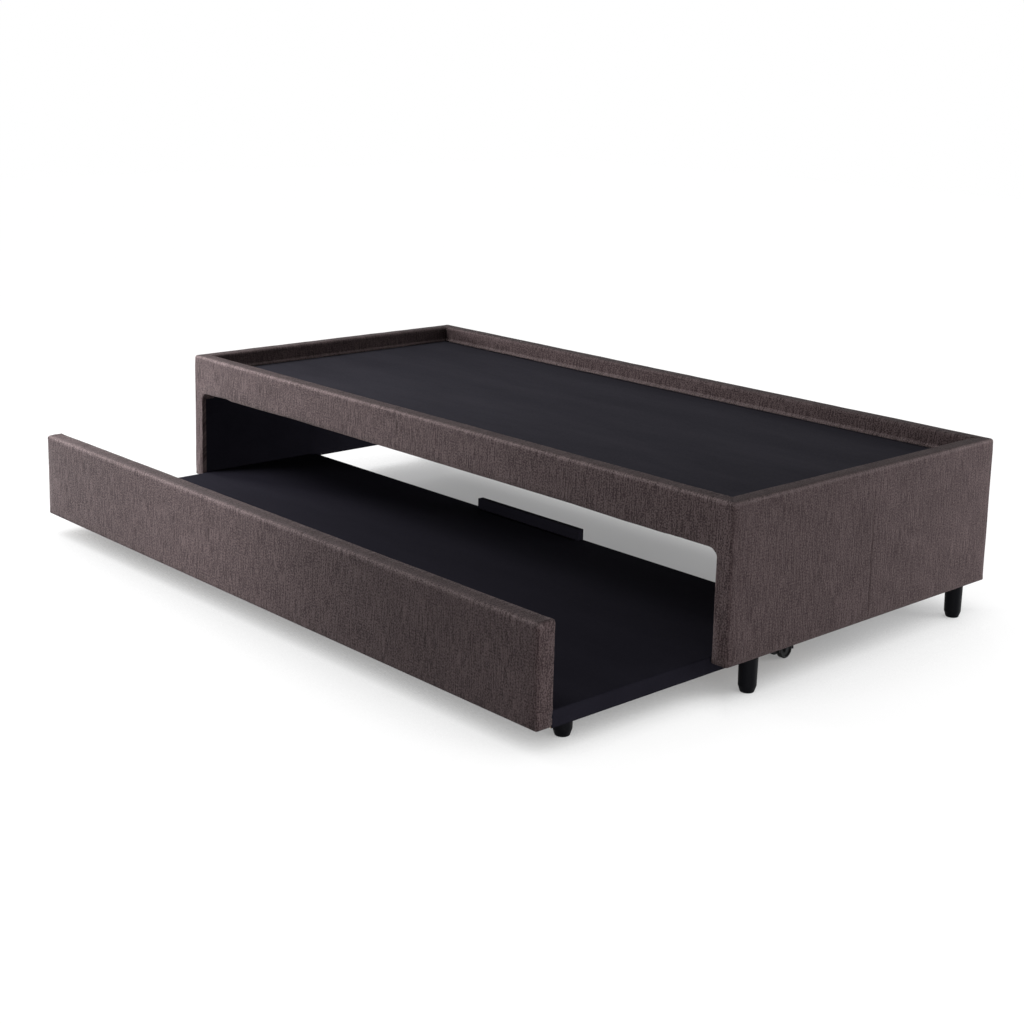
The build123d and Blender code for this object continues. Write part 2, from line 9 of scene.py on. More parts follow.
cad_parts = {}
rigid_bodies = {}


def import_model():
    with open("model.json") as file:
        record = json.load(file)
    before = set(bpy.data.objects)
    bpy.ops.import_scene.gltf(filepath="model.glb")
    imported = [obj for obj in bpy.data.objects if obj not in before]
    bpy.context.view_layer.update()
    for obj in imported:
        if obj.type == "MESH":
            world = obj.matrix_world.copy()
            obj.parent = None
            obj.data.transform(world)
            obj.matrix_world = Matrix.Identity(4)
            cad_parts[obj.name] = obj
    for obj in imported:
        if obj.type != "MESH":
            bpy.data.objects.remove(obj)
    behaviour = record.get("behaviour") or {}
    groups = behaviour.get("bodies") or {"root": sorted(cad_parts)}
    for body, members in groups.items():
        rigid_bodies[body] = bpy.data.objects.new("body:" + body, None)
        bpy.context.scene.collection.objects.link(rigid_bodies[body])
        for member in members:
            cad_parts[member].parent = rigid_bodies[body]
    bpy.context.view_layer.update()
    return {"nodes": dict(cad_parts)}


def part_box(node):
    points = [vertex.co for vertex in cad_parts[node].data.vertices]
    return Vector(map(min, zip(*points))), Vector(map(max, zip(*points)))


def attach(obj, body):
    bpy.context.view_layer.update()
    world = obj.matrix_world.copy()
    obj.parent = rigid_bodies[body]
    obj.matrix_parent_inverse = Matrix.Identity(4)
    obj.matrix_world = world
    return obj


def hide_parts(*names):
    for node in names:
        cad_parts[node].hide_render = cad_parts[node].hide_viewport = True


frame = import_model()

bl_info = {
    "name": "Trundle bed finish",
    "version": (1, 0, 0),
    "blender": (4, 5, 0),
    "location": "View3D > Sidebar > Bed",
    "description": "Upholsters a bed base and its trundle, finishes every part and sets the studio",
    "category": "Object",
}

# Places that come from the frame, in metres
BASE_COVERS = ("front_cover", "back_cover", "end_cover_left", "end_cover_right")


def box_around(names):
    """Lowest and highest corner of several nodes together."""
    lows, highs = zip(*(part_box(name) for name in names))
    return Vector(map(min, zip(*lows))), Vector(map(max, zip(*highs)))


BASE_LOW, BASE_HIGH = box_around(BASE_COVERS)
PANEL_LOW, PANEL_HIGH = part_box("trundle_front_cover")
DECK_LOW, DECK_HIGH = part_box("deck_cover")
PLATFORM_LOW, PLATFORM_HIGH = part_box("trundle_deck_cover")
STOP_LOW, STOP_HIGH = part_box("mattress_stop")
DUST_LOW, DUST_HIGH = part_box("dust_cover")
RAIL_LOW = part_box("front_rail")[0]
PADDING = RAIL_LOW.y - BASE_LOW.y
OPENING_TOP = RAIL_LOW.z - PADDING
BASE_MIDDLE = (BASE_LOW.y + BASE_HIGH.y) / 2


# Kinds of setting

def colour(name, description, default):
    """A colour that a user can change."""
    return bpy.props.FloatVectorProperty(
        name=name, description=description, subtype="COLOR", size=3, min=0, max=1, default=default,
    )


def length(name, description, default):
    """A length that a user can change, in metres."""
    return bpy.props.FloatProperty(name=name, description=description, unit="LENGTH", default=default)


def angle(name, description, degrees):
    """An angle that a user can change, with its default in degrees."""
    return bpy.props.FloatProperty(
        name=name, description=description, subtype="ANGLE", default=math.radians(degrees),
    )


class BED_PG_upholstery(bpy.types.PropertyGroup):
    """Fabric, padding and sewing of the upholstered covers"""

    light_thread: colour("Light thread", "Colour of the raised threads", (0.0950, 0.0690, 0.0700))
    dark_thread: colour("Dark thread", "Colour between the raised threads", (0.0310, 0.0215, 0.0222))
    # Painted highlight with stretched fabric: the paler thread laid on the padded edges and the lip
    stretched_highlight_thread: colour(
        "Stretched thread", "Colour where the fabric is stretched over an edge", (0.190, 0.148, 0.148),
    )
    slub_width: length("Slub width", "Distance between upright slubs", 0.0035)
    slub_length: length("Slub length", "Usual length of a slub", 0.042)
    rim_width: length("Rim width", "Width of the rim around the mattress deck", 0.045)
    edge_round: length("Edge round", "Radius of the padded edges", 0.0075)
    stile_round: length("Stile round", "Radius of the lower corners seen from the front", 0.0032)
    hem_round: length("Hem round", "Radius of the lower edges and of the opening's edges", 0.0026)
    opening_round: length("Opening round", "Radius of the opening's upper corners", 0.022)
    return_depth: length("Return", "How far the fabric turns into the opening at its sides", 0.012)
    lip_width: length("Lip width", "Width of the folded lip at the foot of the rim", 0.006)
    lip_height: length("Lip height", "Height of the lip above the deck", 0.007)
    lip_round: length("Lip round", "Radius of the lip's upper edge", 0.0025)
    wall: length("Fabric wall", "Thickness of fabric and wadding together", 0.002)
    swell: length("Swell", "Most that the padding swells", 0.0025)
    loop_step: length("Loop step", "Distance between the mesh's loops", 0.009)
    seam_depth: length("Seam depth", "How far a seam pulls in", 0.0014)
    seam_width: length("Seam width", "Half the width of the hollow along a seam", 0.0022)
    tuck_depth: length("Tuck depth", "Height of the tucks at the corners", 0.0016)
    tuck_spacing: length("Tuck spacing", "Distance between the tucks at the base's corners", 0.016)
    tuck_reach: length("Tuck reach", "How far the tucks run round the base's corners", 0.045)


class BED_PG_cloth(bpy.types.PropertyGroup):
    """Black cloths on the decks"""

    deck_light: colour("Deck, light", "Lighter colour of the mattress deck's cloth", (0.0436, 0.0415, 0.0512))
    deck_dark: colour("Deck, dark", "Darker colour of the mattress deck's cloth", (0.0200, 0.0190, 0.0247))
    platform_light: colour(
        "Platform, light", "Lighter colour of the cloth on the trundle and inside the bay",
        (0.0156, 0.0145, 0.0207),
    )
    platform_dark: colour(
        "Platform, dark", "Darker colour of the cloth on the trundle and inside the bay",
        (0.0080, 0.0075, 0.0113),
    )
    thickness: length("Thickness", "Thickness of the cloth", 0.0008)


class BED_PG_rigid(bpy.types.PropertyGroup):
    """Colours of timber, board, plastic and steel"""

    pine_light: colour("Early wood", "Light wood of the rails", (0.66, 0.49, 0.30))
    pine_dark: colour("Late wood", "Dark rings of the rails", (0.46, 0.28, 0.13))
    board_light: colour("Board", "Pressed board", (0.33, 0.21, 0.12))
    board_dark: colour("Board fibre", "Dark fibres of the board", (0.21, 0.12, 0.065))
    leg_colour: colour("Leg plastic", "Moulded legs and feet", (0.0030, 0.0030, 0.0042))
    hood_colour: colour("Caster hood", "Moulded caster hoods", (0.0045, 0.0045, 0.0055))
    wheel_colour: colour("Wheel plastic", "Caster wheels", (0.0048, 0.0048, 0.0056))
    axle_colour: colour("Blackened steel", "Caster axles", (0.020, 0.020, 0.022))
    steel_colour: colour("Zinc", "Plated screws, bolts and plates", (0.62, 0.62, 0.60))


class BED_PG_stage(bpy.types.PropertyGroup):
    """Camera, floor and even light"""

    lens: bpy.props.FloatProperty(
        name="Lens", description="Focal length on a 36 mm sensor", unit="CAMERA", default=59.59,
    )
    camera_place: bpy.props.FloatVectorProperty(
        name="Camera", description="Place of the camera", subtype="TRANSLATION", size=3,
        default=(3.2380, -2.9032, 1.3716),
    )
    heading: angle("Heading", "Turn of the camera from +Y towards -X", 47.335)
    tilt: angle("Tilt", "How far the camera looks down", 10.480)
    roll: angle("Roll", "Turn of the camera about its own axis", 1.369)
    rise: bpy.props.FloatProperty(
        name="Shift", description="Vertical shift of the lens, as a share of the picture", default=-0.15,
    )
    sky: bpy.props.FloatProperty(
        name="Sky", description="Strength of the even light from all round", default=0.04,
    )
    floor_glow: bpy.props.FloatProperty(
        name="Floor glow", description="Lightness of the open floor around the bed", default=1.0,
    )
    # Painted shade: the floor's glow under the bed, below the open floor's
    under_glow: bpy.props.FloatProperty(
        name="Glow below", description="Lightness added to the floor under the bed", default=0.17,
    )


# Selecting and shaping

# Places closer than this are one, in metres
TOUCH = 1e-4
# Room that a test on faces or far ends leaves, in metres
MARGIN = 1e-3


def near(first, second):
    """Whether two places along an axis are one."""
    return abs(first - second) < TOUCH


def clear_selection():
    """Leave edit mode and deselect every object."""
    if bpy.context.mode != "OBJECT":
        bpy.ops.object.mode_set(mode="OBJECT")
    bpy.ops.object.select_all(action="DESELECT")


def take(obj):
    """Make one object the selected and active one."""
    clear_selection()
    obj.select_set(True)
    bpy.context.view_layer.objects.active = obj


@contextmanager
def editing(obj):
    """Work on an object's mesh in edit mode."""
    take(obj)
    bpy.ops.object.mode_set(mode="EDIT")
    yield
    bpy.ops.object.mode_set(mode="OBJECT")


def add_block(name, low, high):
    """A cube between two corners, with its place in its mesh."""
    clear_selection()
    bpy.ops.mesh.primitive_cube_add(size=1, location=(low + high) / 2, scale=high - low)
    block = bpy.context.active_object
    block.name = block.data.name = name
    bpy.ops.object.transform_apply(location=True, rotation=True, scale=True)
    return block


def pick(obj, kind, test):
    """Select the faces, by middle and normal, or the edges, by both ends, that pass a test."""
    mesh = obj.data
    for part in (mesh.vertices, mesh.edges, mesh.polygons):
        part.foreach_set("select", [False] * len(part))
    if kind == "FACE":
        mesh.polygons.foreach_set("select", [bool(test(face.center, face.normal)) for face in mesh.polygons])
    else:
        places = [point.co for point in mesh.vertices]
        ends = [[places[number] for number in edge.vertices] for edge in mesh.edges]
        mesh.edges.foreach_set("select", [bool(test(a, b)) for a, b in ends])
    bpy.context.tool_settings.mesh_select_mode = (False, kind == "EDGE", kind == "FACE")


def round_edges(obj, test, radius, segments):
    """Bevel the edges whose two ends pass a test."""
    pick(obj, "EDGE", test)
    with editing(obj):
        bpy.ops.mesh.bevel(offset=radius, segments=segments, affect="EDGES")


def drop_faces(obj, test):
    """Delete the faces that pass a test."""
    pick(obj, "FACE", test)
    with editing(obj):
        bpy.ops.mesh.delete(type="FACE")


def cut_loops(obj, axis, places):
    """Cut the whole mesh across at each place along an axis."""
    normal = Vector((axis == 0, axis == 1, axis == 2))
    with editing(obj):
        bpy.context.tool_settings.mesh_select_mode = (False, False, True)
        for place in places:
            bpy.ops.mesh.select_all(action="SELECT")
            bpy.ops.mesh.bisect(plane_co=normal * place, plane_no=normal)


def graded(low, high, step, close):
    """Places between two ends: close ones near both, and a step apart in between."""
    near = [low + gap for gap in close]
    far = [high - gap for gap in reversed(close)]
    count = max(1, round((far[0] - near[-1]) / step))
    between = [near[-1] + (far[0] - near[-1]) * index / count for index in range(1, count)]
    return near + between + far


def modify(obj, kind, **values):
    """Add a modifier with its settings and apply it."""
    take(obj)
    bpy.ops.object.modifier_add(type=kind)
    modifier = obj.modifiers[-1]
    for name, value in values.items():
        setattr(modifier, name, value)
    bpy.ops.object.modifier_apply(modifier=modifier.name)


def rows(collection, label):
    """Vectors of a mesh's points, one row for each."""
    values = np.empty(len(collection) * 3, np.float32)
    collection.foreach_get(label, values)
    return values.reshape(-1, 3).astype(float)


def points_of(obj):
    """Places of an object's points."""
    return rows(obj.data.vertices, "co")


def normals_of(obj):
    """Normals of an object's points."""
    return rows(obj.data.vertex_normals, "vector")


def stored(obj, name):
    """The vectors that are kept for each point."""
    return rows(obj.data.attributes[name].data, "vector")


def move_points(obj, places):
    """Put an object's points at these places."""
    obj.data.vertices.foreach_set("co", places.astype(np.float32).ravel())
    obj.data.update()


def store(obj, name, values):
    """Keep a vector for each point as an attribute."""
    attribute = obj.data.attributes.get(name) or obj.data.attributes.new(name, "FLOAT_VECTOR", "POINT")
    attribute.data.foreach_set("vector", values.astype(np.float32).ravel())


def border_points(mesh):
    """Numbers of the points on open edges."""
    uses = {}
    for face in mesh.polygons:
        for key in face.edge_keys:
            uses[key] = uses.get(key, 0) + 1
    return sorted({point for key, count in uses.items() if count == 1 for point in key})


def waves(places, size, seed):
    """Smooth noise of about one unit at each place, with bumps of the given size."""
    offset = Vector((seed, -seed, seed / 2))
    return np.array([noise.noise(Vector(place) / size + offset) for place in places])


def bump(distance, width):
    """A smooth hump: one at no distance, and next to nothing past two widths."""
    return np.exp(-(distance / width) ** 2)


# Cloth

CLOTH_FRAMES = 20
# Share of the swell that a skin starts inside its CAD faces, and that it may move inwards
START_SHARE = 0.3


def puff(obj, swell, hem):
    """Swell a cover by a short cloth simulation, stapled at its borders and below its hem."""
    rest = points_of(obj)
    normals = normals_of(obj)
    stapled = obj.vertex_groups.new(name="stapled")
    below_hem = np.flatnonzero(rest[:, 2] < hem).tolist()
    stapled.add(border_points(obj.data) + below_hem, 1.0, "REPLACE")
    take(obj)
    bpy.ops.object.modifier_add(type="CLOTH")
    modifier = obj.modifiers[-1]
    cloth = modifier.settings
    cloth.quality = 6
    cloth.mass = 0.25
    cloth.tension_stiffness = cloth.compression_stiffness = 30
    cloth.shear_stiffness = 12
    cloth.bending_stiffness = 1.5
    cloth.vertex_group_mass = stapled.name
    cloth.use_pressure = True
    cloth.uniform_pressure_force = 4
    cloth.effector_weights.gravity = 0
    modifier.point_cache.frame_start = 1
    modifier.point_cache.frame_end = CLOTH_FRAMES
    for number in range(1, CLOTH_FRAMES + 1):
        bpy.context.scene.frame_set(number)
    bpy.ops.object.modifier_apply(modifier=modifier.name)
    bpy.context.scene.frame_set(1)
    obj.vertex_groups.clear()
    moved = points_of(obj) - rest
    distance = np.maximum(np.linalg.norm(moved, axis=1, keepdims=True), 1e-9)
    moved *= swell * np.tanh(distance / swell) / distance
    outward = (moved * normals).sum(axis=1, keepdims=True)
    move_points(obj, rest + moved + normals * np.maximum(-START_SHARE * swell - outward, 0))


# Finishes

# Distance between the threads of the upholstery, in metres
WARP_PITCH = 0.0021
WEFT_PITCH = 0.0027


def put(tree, kind, inputs=None, **settings):
    """Add a shader node, with values or links for its inputs."""
    node = tree.nodes.new(kind)
    for name, value in settings.items():
        setattr(node, name, value)
    for name, value in (inputs or {}).items():
        socket = node.inputs[name]
        if isinstance(value, bpy.types.NodeSocket):
            tree.links.new(value, socket)
        else:
            socket.default_value = value
    return node


def maths(tree, operation, first, second=0.0):
    """The result of a sum on two values."""
    return put(tree, "ShaderNodeMath", {0: first, 1: second}, operation=operation).outputs[0]


def weighted(tree, first, first_share, second, second_share):
    """Shares of two values added up."""
    first = maths(tree, "MULTIPLY", first, first_share)
    return maths(tree, "ADD", first, maths(tree, "MULTIPLY", second, second_share))


def stretch(tree, vector, scale):
    """A vector with each part multiplied."""
    return put(tree, "ShaderNodeVectorMath", {0: vector, 1: scale}, operation="MULTIPLY").outputs[0]


def cloud(tree, vector, scale, detail=2.0, rough=0.5):
    """Values of a noise texture, from nought to one."""
    inputs = {"Vector": vector, "Scale": scale, "Detail": detail, "Roughness": rough}
    return put(tree, "ShaderNodeTexNoise", inputs).outputs["Fac"]


def remap(tree, value, low=0.0, high=1.0, to_low=0.0, to_high=1.0, kind="LINEAR"):
    """A value moved from one range to another and kept inside it."""
    inputs = {"Value": value, "From Min": low, "From Max": high, "To Min": to_low, "To Max": to_high}
    return put(tree, "ShaderNodeMapRange", inputs, interpolation_type=kind).outputs[0]


def open_group(name, place, sizes):
    """A shader node group with a vector and some sizes as inputs, and what it is given."""
    group = bpy.data.node_groups.new(name, "ShaderNodeTree")
    group.interface.new_socket(place, in_out="INPUT", socket_type="NodeSocketVector")
    for label, default in sizes.items():
        socket = group.interface.new_socket(label, in_out="INPUT", socket_type="NodeSocketFloat")
        socket.default_value = default
    for label in ("Shade", "Relief"):
        group.interface.new_socket(label, in_out="OUTPUT", socket_type="NodeSocketFloat")
    return group, put(group, "NodeGroupInput").outputs


def close_group(group, shade, relief):
    """Link what a node group gives back."""
    put(group, "NodeGroupOutput", {"Shade": shade, "Relief": relief})
    return group


def build_slub_weave(name):
    """Upright slubs, nap and fine weave of the upholstery, on a cloth's own across and along."""
    sizes = {"Slub width": 0.0035, "Slub length": 0.042, "Nap size": 0.09, "Contrast": 1.0}
    group, given = open_group(name, "Cloth", sizes)
    cloth = given["Cloth"]
    across = maths(group, "DIVIDE", 1.0, given["Slub width"])
    along = maths(group, "DIVIDE", 1.0, given["Slub length"])
    pull = put(group, "ShaderNodeCombineXYZ", {"X": across, "Y": along, "Z": 1.0}).outputs[0]
    threads = cloud(group, stretch(group, cloth, pull), 1.0, 2.0, 0.65)
    slub = remap(group, threads, 0.34, 0.66, kind="SMOOTHSTEP")
    patches = cloud(group, stretch(group, cloth, (16.0, 9.0, 1.0)), 1.0)
    strength = remap(group, patches, 0.35, 0.65, 0.28, 0.62)
    flecks = cloud(group, stretch(group, cloth, (320.0, 250.0, 1.0)), 1.0, 1.0)
    broad = cloud(group, stretch(group, cloth, (60.0, 12.0, 1.0)), 1.0)
    nap = cloud(group, cloth, maths(group, "DIVIDE", 1.0, given["Nap size"]))
    parts = put(group, "ShaderNodeSeparateXYZ", {0: cloth}).outputs
    warp = maths(group, "SINE", maths(group, "MULTIPLY", parts["X"], 2 * math.pi / WARP_PITCH))
    weft = maths(group, "SINE", maths(group, "MULTIPLY", parts["Y"], 2 * math.pi / WEFT_PITCH))
    weave = maths(group, "MULTIPLY", warp, weft)
    shade = maths(group, "MULTIPLY", maths(group, "SUBTRACT", slub, 0.5), strength)
    speckle = maths(group, "MULTIPLY", maths(group, "SUBTRACT", flecks, 0.5), 2.1)
    # Contrast raises the slubs' colour contrast on the long faces, as painted raking-light shade
    shade = maths(group, "MULTIPLY", maths(group, "ADD", shade, speckle), given["Contrast"])
    for layer, middle, share in ((broad, 0.5, 0.3), (nap, 0.5, 0.5), (weave, 0.0, 0.06)):
        drift = maths(group, "MULTIPLY", maths(group, "SUBTRACT", layer, middle), share)
        shade = maths(group, "ADD", shade, drift)
    relief = weighted(group, slub, 0.7, weave, 0.16)
    return close_group(group, maths(group, "ADD", shade, 0.5), maths(group, "ADD", relief, flecks))


def build_felted_fibres(name):
    """Pressed random fibres with slow bands, as of a non-woven cloth or a pressed board."""
    group, given = open_group(name, "Place", {"Fibre size": 0.005, "Band size": 0.12})
    place = given["Place"]
    fine = cloud(group, place, maths(group, "DIVIDE", 1.0, given["Fibre size"]), 4.0, 0.7)
    bands = stretch(group, place, (0.25, 1.0, 1.0))
    slow = cloud(group, bands, maths(group, "DIVIDE", 1.0, given["Band size"]), 5.0, 0.65)
    shade = weighted(group, fine, 0.7, slow, 0.8)
    return close_group(group, maths(group, "SUBTRACT", shade, 0.25), fine)


def build_moulded_grain(name):
    """Fine even grain with a little drift, as of moulded plastic or plated steel."""
    group, given = open_group(name, "Place", {"Grain size": 0.0012})
    place = given["Place"]
    fine = cloud(group, place, maths(group, "DIVIDE", 1.0, given["Grain size"]), 2.0, 0.6)
    slow = cloud(group, place, 28.0)
    return close_group(group, weighted(group, fine, 0.5, slow, 0.5), fine)


def build_wood_grain(name):
    """Growth rings drawn out along X, with pores."""
    group, given = open_group(name, "Place", {})
    place = given["Place"]
    warped = cloud(group, stretch(group, place, (1.2, 9.0, 9.0)), 1.0)
    rings = put(
        group, "ShaderNodeTexWave",
        {"Vector": stretch(group, place, (0.5, 12.0, 12.0)), "Scale": 2.2, "Distortion": 6.0, "Detail": 2.0,
         "Detail Scale": 0.8, "Phase Offset": maths(group, "MULTIPLY", warped, 5.0)},
        wave_type="RINGS", rings_direction="X",
    ).outputs["Fac"]
    pores = cloud(group, stretch(group, place, (25.0, 900.0, 900.0)), 1.0, 2.0, 0.6)
    return close_group(group, weighted(group, rings, 0.65, pores, 0.35), pores)


def place_group(tree, name, build, inputs):
    """What a node group gives back in a tree; the group is built when it is first asked for."""
    group = bpy.data.node_groups.get(name) or build(name)
    return put(tree, "ShaderNodeGroup", inputs, node_tree=group).outputs


def new_material(name):
    """A material with one Principled shader: its tree and that shader."""
    material = bpy.data.materials.new(name)
    material.use_nodes = True
    return material, material.node_tree, material.node_tree.nodes["Principled BSDF"]


def blended(tree, share, low, high):
    """A colour between two, by a value that runs from nought to one."""
    mix = put(tree, "ShaderNodeMix", data_type="RGBA", clamp_factor=True)
    tree.links.new(share, mix.inputs[0])
    for socket, end in ((mix.inputs[6], low), (mix.inputs[7], high)):
        if isinstance(end, bpy.types.NodeSocket):
            tree.links.new(end, socket)
        else:
            socket.default_value = (*end, 1.0)
    return mix.outputs[2]


def finish_surface(tree, shader, shade, relief, low, high, rough, depth):
    """Link colour, roughness and relief of one surface to its shader."""
    tree.links.new(blended(tree, shade, low, high), shader.inputs["Base Color"])
    spread = remap(tree, shade, to_low=rough[0], to_high=rough[1])
    tree.links.new(spread, shader.inputs["Roughness"])
    raised = put(tree, "ShaderNodeBump", {"Height": relief, "Strength": 0.6, "Distance": depth})
    tree.links.new(raised.outputs[0], shader.inputs["Normal"])


def upholstery_fabric(name):
    """Taupe chenille with upright slubs; paler over the padded edges and the lip, from stretched fabric and a
    painted highlight, and with the slubs' contrast raised on the long faces as painted raking-light shade.
    """
    look = bpy.context.scene.bed_upholstery
    material, tree, shader = new_material(name)
    cloth = put(tree, "ShaderNodeAttribute", attribute_name="cloth").outputs["Vector"]
    # The slubs' contrast, raised on the long faces as painted raking-light shade
    contrast = put(tree, "ShaderNodeAttribute", attribute_name="contrast").outputs["Fac"]
    # Share of the paler thread: stretched fabric and a painted highlight on the padded edges and the lip
    stretched_and_highlighted = put(tree, "ShaderNodeAttribute", attribute_name="stretched_and_highlighted").outputs["Fac"]
    sizes = {"Slub width": look.slub_width, "Slub length": look.slub_length}
    weave = place_group(
        tree, "Slub weave", build_slub_weave, {"Cloth": cloth, "Contrast": contrast, **sizes}
    )
    shade = weave["Shade"]
    finish_surface(
        tree, shader, shade, weave["Relief"], look.dark_thread, look.light_thread, (0.97, 0.88), 0.0013
    )
    # The paler thread, broken up by the slubs: stretched fabric and a painted highlight
    broken = maths(tree, "MULTIPLY", stretched_and_highlighted, maths(tree, "ADD", shade, 0.5))
    plain = shader.inputs["Base Color"].links[0].from_socket
    tree.links.new(blended(tree, broken, plain, look.stretched_highlight_thread), shader.inputs["Base Color"])
    shader.inputs["Sheen Weight"].default_value = 0.04
    shader.inputs["Sheen Roughness"].default_value = 0.45
    shader.inputs["Specular IOR Level"].default_value = 0.05
    return material


def grained(name, label, build, sizes, shades, rough, depth, turn=None):
    """A material on its object's own place with the pattern of one node group, and its shader's inputs."""
    material, tree, shader = new_material(name)
    place = put(tree, "ShaderNodeTexCoord").outputs["Object"]
    if turn:
        place = put(tree, "ShaderNodeMapping", {"Vector": place, "Rotation": turn}).outputs[0]
    pattern = place_group(tree, label, build, {"Place": place, **sizes})
    finish_surface(tree, shader, pattern["Shade"], pattern["Relief"], *shades, rough, depth)
    return material, shader.inputs


def felt_material(name, shades, fibre, rough, depth):
    """Cloth or board of pressed fibres."""
    material, shader = grained(
        name, "Felted fibres", build_felted_fibres, {"Fibre size": fibre}, shades, rough, depth
    )
    shader["Specular IOR Level"].default_value = 0.012
    return material


def moulded_material(name, tone, grain, rough, depth, shine, metal=0.0):
    """Moulded plastic or plated steel with a fine grain."""
    shades = [[share * part for part in tone] for share in (0.8, 1.2)]
    material, shader = grained(
        name, "Moulded grain", build_moulded_grain, {"Grain size": grain}, shades, rough, depth
    )
    shader["Specular IOR Level"].default_value = shine
    shader["Metallic"].default_value = metal
    return material


def pine_material(name, turn):
    """Planed softwood with its grain turned to run along the piece."""
    look = bpy.context.scene.bed_rigid
    shades = (look.pine_light, look.pine_dark)
    return grained(name, "Wood grain", build_wood_grain, {}, shades, (0.55, 0.72), 0.0003, turn)[0]


def finished(obj, material, slot, body, *replaced):
    """Give a new piece its finish, its body and the nodes that it stands for."""
    obj.data.materials.clear()
    obj.data.materials.append(material)
    take(obj)
    bpy.ops.object.shade_smooth()
    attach(obj, body)
    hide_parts(*replaced)


def refinish(names, material):
    """Give nodes of the frame a better material."""
    for name in names:
        mesh = frame["nodes"][name].data
        mesh.materials.clear()
        mesh.materials.append(material)


def material_once(name, build):
    """A material by name, made when it is first asked for."""
    return bpy.data.materials.get(name) or build(name)


# Upholstery of the base

# Names of the two materials that several pieces share
FABRIC = "taupe_chenille"
BLACK = "black_nonwoven"


def base_shell(look):
    """The fabric skin of the whole base: outside, rim, lip, and the turns into the openings."""
    start = Vector((look.swell, look.swell, look.swell)) * START_SHARE
    low, high = BASE_LOW + start, BASE_HIGH - start
    bay = BASE_HIGH.x - look.rim_width + start.x
    opening_top = OPENING_TOP + start.z
    lip_top = DECK_HIGH.z + look.lip_height
    shell = add_block("base_skin", low, high)

    rim = look.rim_width - 2 * start.x
    pick(shell, "FACE", lambda middle, normal: normal.z > 0.9)
    with editing(shell):
        bpy.ops.mesh.inset(thickness=rim)
        bpy.ops.mesh.extrude_region_move(TRANSFORM_OT_translate={"value": (0, 0, lip_top - high.z)})
        bpy.ops.mesh.inset(thickness=look.lip_width)
        bpy.ops.mesh.extrude_region_move(TRANSFORM_OT_translate={"value": (0, 0, DECK_LOW.z - lip_top)})
        bpy.ops.mesh.delete(type="FACE")

    def lip_edge(a, b):
        level = near(a.z, lip_top) and near(b.z, lip_top)
        inside = max(abs(a.x), abs(b.x)) < high.x - rim - look.lip_width + TOUCH
        return level and inside and min(a.y, b.y) > low.y + rim + look.lip_width - TOUCH

    round_edges(shell, lip_edge, look.lip_round, 3)

    reach = Vector((0, 0.1, 0))
    doorway = add_block(
        "doorway", Vector((-bay, low.y, 0)) - reach, Vector((bay, high.y, opening_top)) + reach
    )
    round_edges(
        doorway, lambda a, b: min(a.z, b.z) > opening_top - TOUCH and near(a.x, b.x), look.opening_round, 8
    )
    modify(shell, "BOOLEAN", operation="DIFFERENCE", object=doorway, solver="EXACT")
    bpy.data.objects.remove(doorway)

    def outer(place):
        return near(abs(place.x), high.x) or near(place.y, low.y) or near(place.y, high.y)

    tall = 0.2

    def rim_edge(a, b):
        upright = abs(a.z - b.z) > tall and near(abs(a.x), high.x) and near(a.x, b.x)
        along_rim = min(a.z, b.z) > high.z - TOUCH and outer(a) == outer(b)
        return upright or along_rim

    round_edges(shell, rim_edge, look.edge_round, 5)

    def stile_corner(a, b):
        return max(a.z, b.z) < low.z + TOUCH and max(abs(a.x), abs(b.x)) < bay + TOUCH

    round_edges(shell, stile_corner, look.stile_round, 4)
    foot_start = bay + look.stile_round - TOUCH

    def hem_edge(a, b):
        face = any(near(a.y, y) and near(b.y, y) for y in (low.y, high.y))
        nearer, farther = sorted((abs(a.x), abs(b.x)))
        highest = max(a.z, b.z)
        doorway_edge = face and farther < foot_start + 2 * TOUCH and highest < opening_top + TOUCH
        outer_foot = face or nearer > high.x - look.edge_round - MARGIN
        foot = highest < low.z + TOUCH and nearer > foot_start and outer_foot
        return doorway_edge or foot

    round_edges(shell, hem_edge, look.hem_round, 3)

    close = [look.edge_round + gap for gap in (0.005, 0.011, 0.018)]
    turn = look.return_depth
    soffit = look.rim_width - PADDING
    cut_loops(shell, 0, graded(low.x, high.x, look.loop_step, close))
    cut_loops(shell, 1, graded(low.y, high.y, look.loop_step, (turn, *close, soffit)))
    seam_gaps = (0.0012, 0.0028, 0.005)
    cut_loops(shell, 1, [BASE_MIDDLE + sign * gap for gap in seam_gaps for sign in (-1, 1)])
    cut_loops(shell, 2, graded(low.z, high.z, look.loop_step, close))

    def hidden(middle, normal):
        inside = abs(middle.x) < bay + MARGIN
        from_face = min(middle.y - low.y, high.y - middle.y)
        ceiling = inside and middle.z < opening_top + MARGIN and from_face > soffit
        wall = inside and normal.x * middle.x < -MARGIN and middle.z < opening_top - look.opening_round
        wall = wall and from_face > turn
        return ceiling or wall

    drop_faces(shell, hidden)
    return shell


def from_edges(rest):
    """How far each point lies in from the nearest long face and from the nearest end."""
    from_long = np.minimum(rest[:, 1] - BASE_LOW.y, BASE_HIGH.y - rest[:, 1])
    from_end = BASE_HIGH.x - np.abs(rest[:, 0])
    return from_long, from_end


def unevenness(rest, broad_seed, small_seed):
    """Broad hollows and small bulges of padded fabric."""
    broad = 0.0006 * waves(rest, 0.16, broad_seed)
    return broad + 0.00035 * waves(rest * (1, 1, 0.4), 0.045, small_seed)


def loose_above(rest, low):
    """Nought at a cover's lower edge, where it is stapled, and one from a little above it."""
    return np.clip((rest[:, 2] - low.z) / 0.03, 0, 1)


